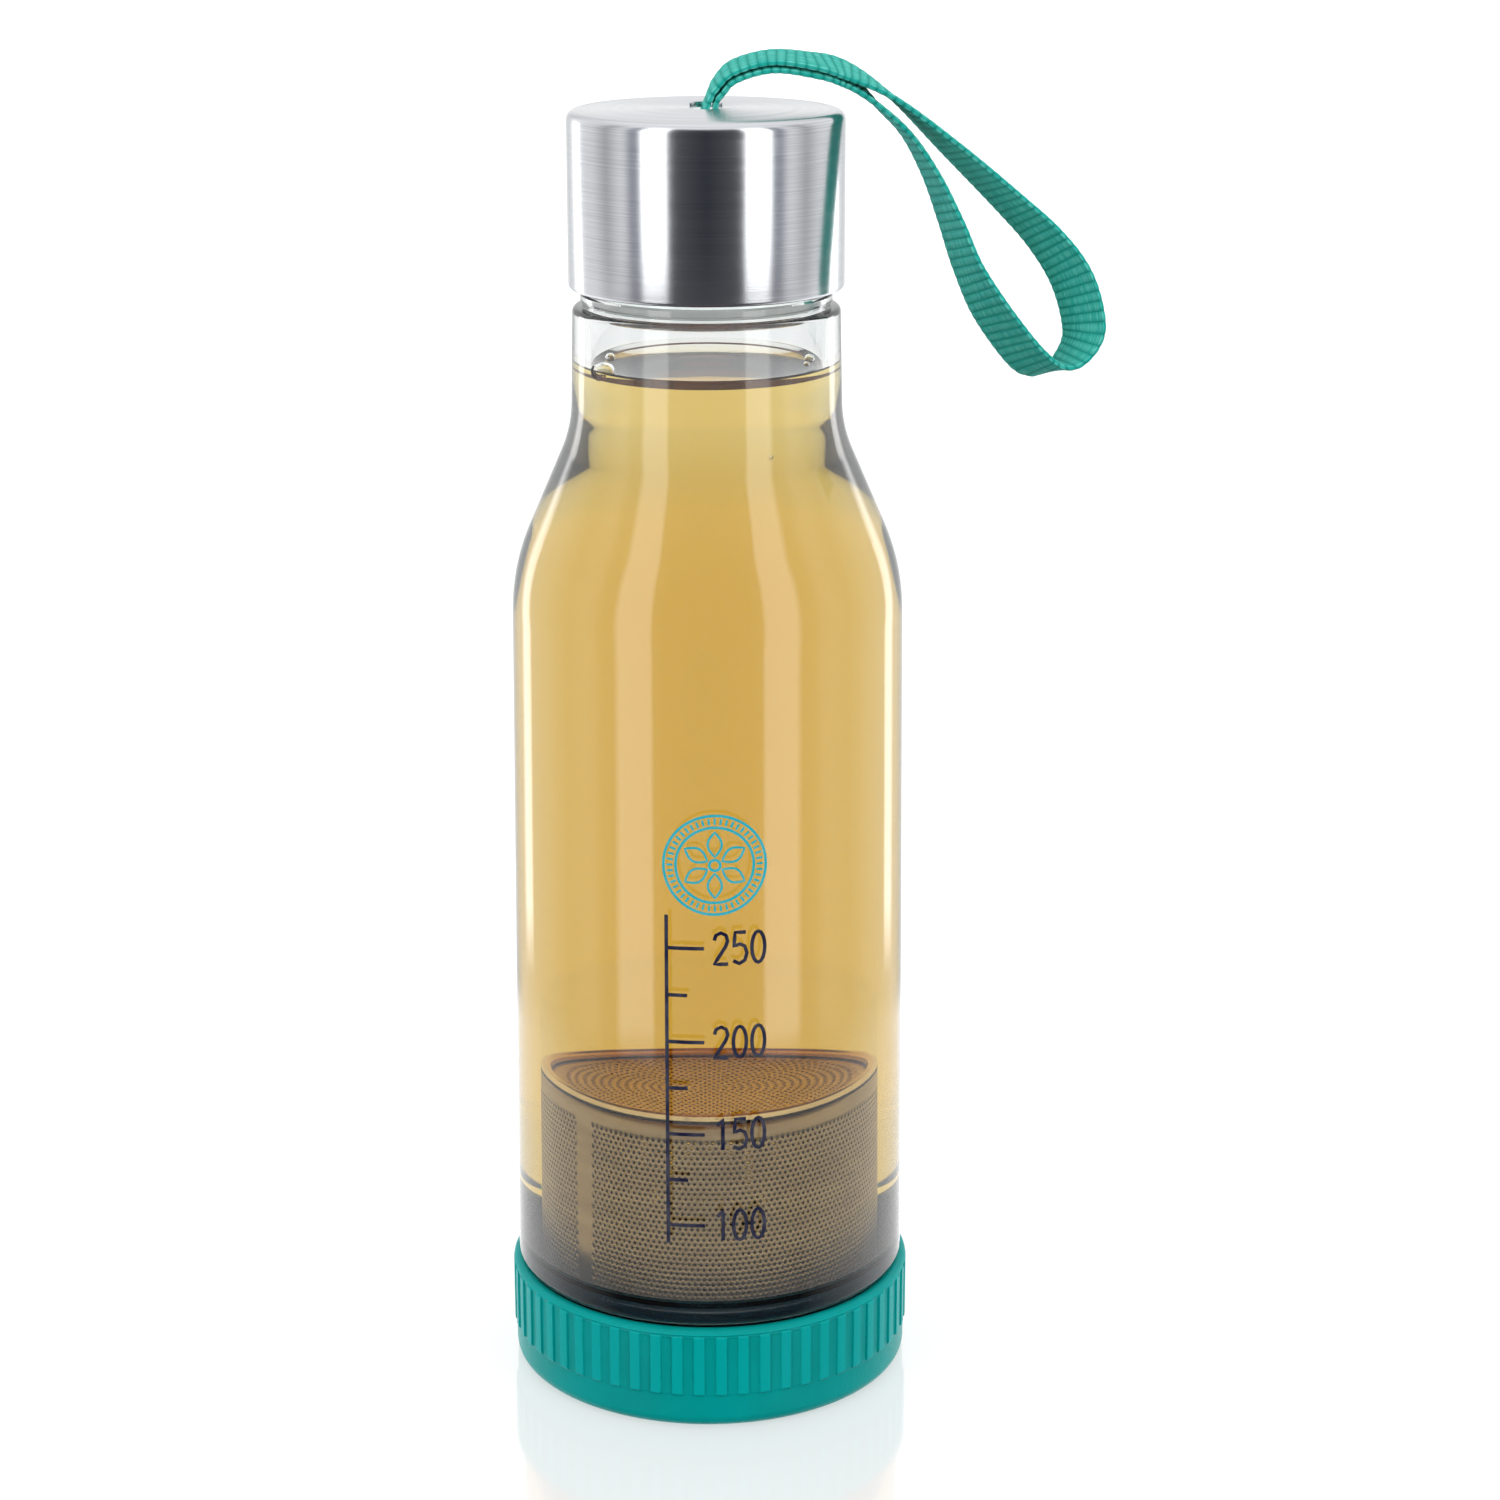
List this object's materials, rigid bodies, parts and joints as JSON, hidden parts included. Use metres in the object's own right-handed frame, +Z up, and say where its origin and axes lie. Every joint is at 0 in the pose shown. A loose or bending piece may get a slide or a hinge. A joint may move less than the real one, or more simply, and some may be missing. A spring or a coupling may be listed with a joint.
{
  "type": "tea infuser bottle",
  "caption": "Clear drinking bottle with a screw-on ribbed base that carries a perforated tea infuser, and a steel screw lid with a wrist strap.",
  "frame": {"origin": "on the bottle's axis, at the underside of the base cap", "axes": "+Z up along the bottle's axis, +X towards the side on which the strap hangs, -Y towards the printed front"},
  "size_m": [0.1014, 0.0696, 0.2272],
  "materials": {
    "teal_plastic": "satin",
    "clear_silicone": "matte",
    "slate_plastic": "gloss",
    "perforated_steel": "fine round perforation",
    "clear_plastic": "clear, polished",
    "brushed_steel": "brushed round the axis",
    "liner_plastic": "satin",
    "dark_rubber": "matte",
    "pin_steel": "drawn",
    "teal_webbing": "woven ribbon"
  },
  "bodies": {
    "base": {"base_cap": "teal_plastic", "infuser_collar": "slate_plastic"},
    "infuser": {"infuser_flange": "slate_plastic", "infuser_wall": "perforated_steel", "infuser_top": "perforated_steel"},
    "foot_seal": {"base_gasket": "clear_silicone"},
    "bottle": {"bottle_body": "clear_plastic"},
    "lid_ring": {"lid_seal": "clear_silicone"},
    "lid": {"lid_shell": "brushed_steel", "lid_liner": "liner_plastic", "plug_seal": "dark_rubber", "strap_pin": "pin_steel"},
    "strap": {"strap": "teal_webbing"}
  },
  "joints": [
    {"name": "infuser_lift", "type": "slide", "parent": "base", "child": "infuser", "axis": [0, 0, 1], "range_m": [0, 0.03]},
    {"name": "bottle_rise", "type": "slide", "parent": "base", "child": "foot_seal", "axis": [0, 0, 1], "range_m": [0, 0.0481]},
    {"name": "bottle_turn", "type": "hinge", "parent": "foot_seal", "child": "bottle", "pos_m": [0, 0, 0.0051], "axis": [0, 0, 1], "range_deg": [0, 1440]},
    {"name": "lid_rise", "type": "slide", "parent": "bottle", "child": "lid_ring", "axis": [0, 0, 1], "range_m": [0, 0.0286]},
    {"name": "lid_turn", "type": "hinge", "parent": "lid_ring", "child": "lid", "pos_m": [0, 0, 0.1896], "axis": [0, 0, 1], "range_deg": [0, 1080]},
    {"name": "strap_swing", "type": "hinge", "parent": "lid", "child": "strap", "pos_m": [0, 0.003, 0.2133], "axis": [0, 1, 0], "range_deg": [-18, 2]}
  ],
  "couplings": [
    {"joint": "bottle_rise", "follows": "bottle_turn", "m_per_rad": 0.0019099},
    {"joint": "lid_rise", "follows": "lid_turn", "m_per_rad": 0.001512}
  ]
}
